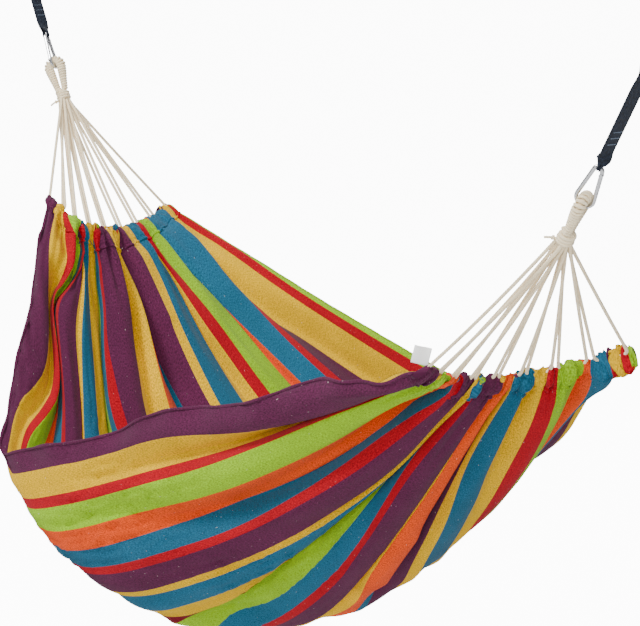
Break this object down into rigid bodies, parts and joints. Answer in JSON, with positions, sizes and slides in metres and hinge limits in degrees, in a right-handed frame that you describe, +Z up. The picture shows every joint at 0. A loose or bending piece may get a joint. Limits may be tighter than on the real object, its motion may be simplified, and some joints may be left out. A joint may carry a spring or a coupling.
{
  "type": "hanging cloth hammock",
  "caption": "Hanging hammock: a striped cotton cloth gathered on cotton cord fans that end in whipped rope eyes, hung by snap hooks from webbing straps with sewn anchor eyes.",
  "frame": {"origin": "centre of the left strap's sewn anchor eye, on the swing axis", "axes": "+X towards the right anchor eye, +Y towards the cloth's taut far edge, +Z up"},
  "size_m": [2.6048, 0.966, 1.3462],
  "materials": {
    "webbing": "matt woven nylon, near black with a blue cast",
    "stitching": "matt sewing thread, grey blue",
    "steel": "polished zinc-plated steel",
    "spring_steel": "bare spring wire",
    "cotton_cord": "matt twisted natural cotton, cream",
    "striped_cotton": "matt heathered weave in lengthwise stripes of purple, yellow, red, green, orange and blue",
    "selvedge_cotton": "matt heathered weave, purple on the near edge and green on the far edge",
    "label_tape": "smooth white tape, blank"
  },
  "bodies": {
    "anchors": {"left_anchor_eye": "webbing", "right_anchor_eye": "webbing"},
    "hammock": {"left_strap": "webbing", "left_strap_stitching": "stitching", "left_hook": "steel", "left_gate_pin": "steel", "left_eye_core": "cotton_cord", "left_eye_whipping": "cotton_cord", "left_throat_whipping": "cotton_cord", "left_whipping_tail": "cotton_cord", "left_end_hem": "striped_cotton", "left_cord_1": "cotton_cord", "left_cord_2": "cotton_cord", "left_cord_3": "cotton_cord", "left_cord_4": "cotton_cord", "left_cord_5": "cotton_cord", "left_cord_6": "cotton_cord", "left_cord_7": "cotton_cord", "left_cord_8": "cotton_cord", "right_strap": "webbing", "right_strap_stitching": "stitching", "right_hook": "steel", "right_gate_pin": "steel", "right_eye_core": "cotton_cord", "right_eye_whipping": "cotton_cord", "right_throat_whipping": "cotton_cord", "right_whipping_tail": "cotton_cord", "right_end_hem": "striped_cotton", "right_cord_1": "cotton_cord", "right_cord_2": "cotton_cord", "right_cord_3": "cotton_cord", "right_cord_4": "cotton_cord", "right_cord_5": "cotton_cord", "right_cord_6": "cotton_cord", "right_cord_7": "cotton_cord", "right_cord_8": "cotton_cord", "bed_cloth": "striped_cotton", "near_selvedge": "selvedge_cotton", "far_selvedge": "selvedge_cotton", "care_label": "label_tape"},
    "left_gate": {"left_gate": "steel", "left_gate_spring": "spring_steel", "left_gate_plunger": "steel"},
    "right_gate": {"right_gate": "steel", "right_gate_spring": "spring_steel", "right_gate_plunger": "steel"}
  },
  "joints": [
    {"name": "swing", "type": "hinge", "parent": "anchors", "child": "hammock", "pos_m": [0, 0, 0], "axis": [1, 0, 0], "range_deg": [-30, 30]},
    {"name": "left_gate_hinge", "type": "hinge", "parent": "hammock", "child": "left_gate", "pos_m": [0.1393, 0.00671, -0.21646], "axis": [-0.6252, -0.6561, -0.4227], "range_deg": [0, 25], "stiffness_Nm_per_rad": 0.05, "springref_deg": -17.19},
    {"name": "right_gate_hinge", "type": "hinge", "parent": "hammock", "child": "right_gate", "pos_m": [2.44198, 0.00497, -0.21732], "axis": [-0.4633, 0.829, 0.3132], "range_deg": [0, 25], "stiffness_Nm_per_rad": 0.05, "springref_deg": -17.19}
  ]
}
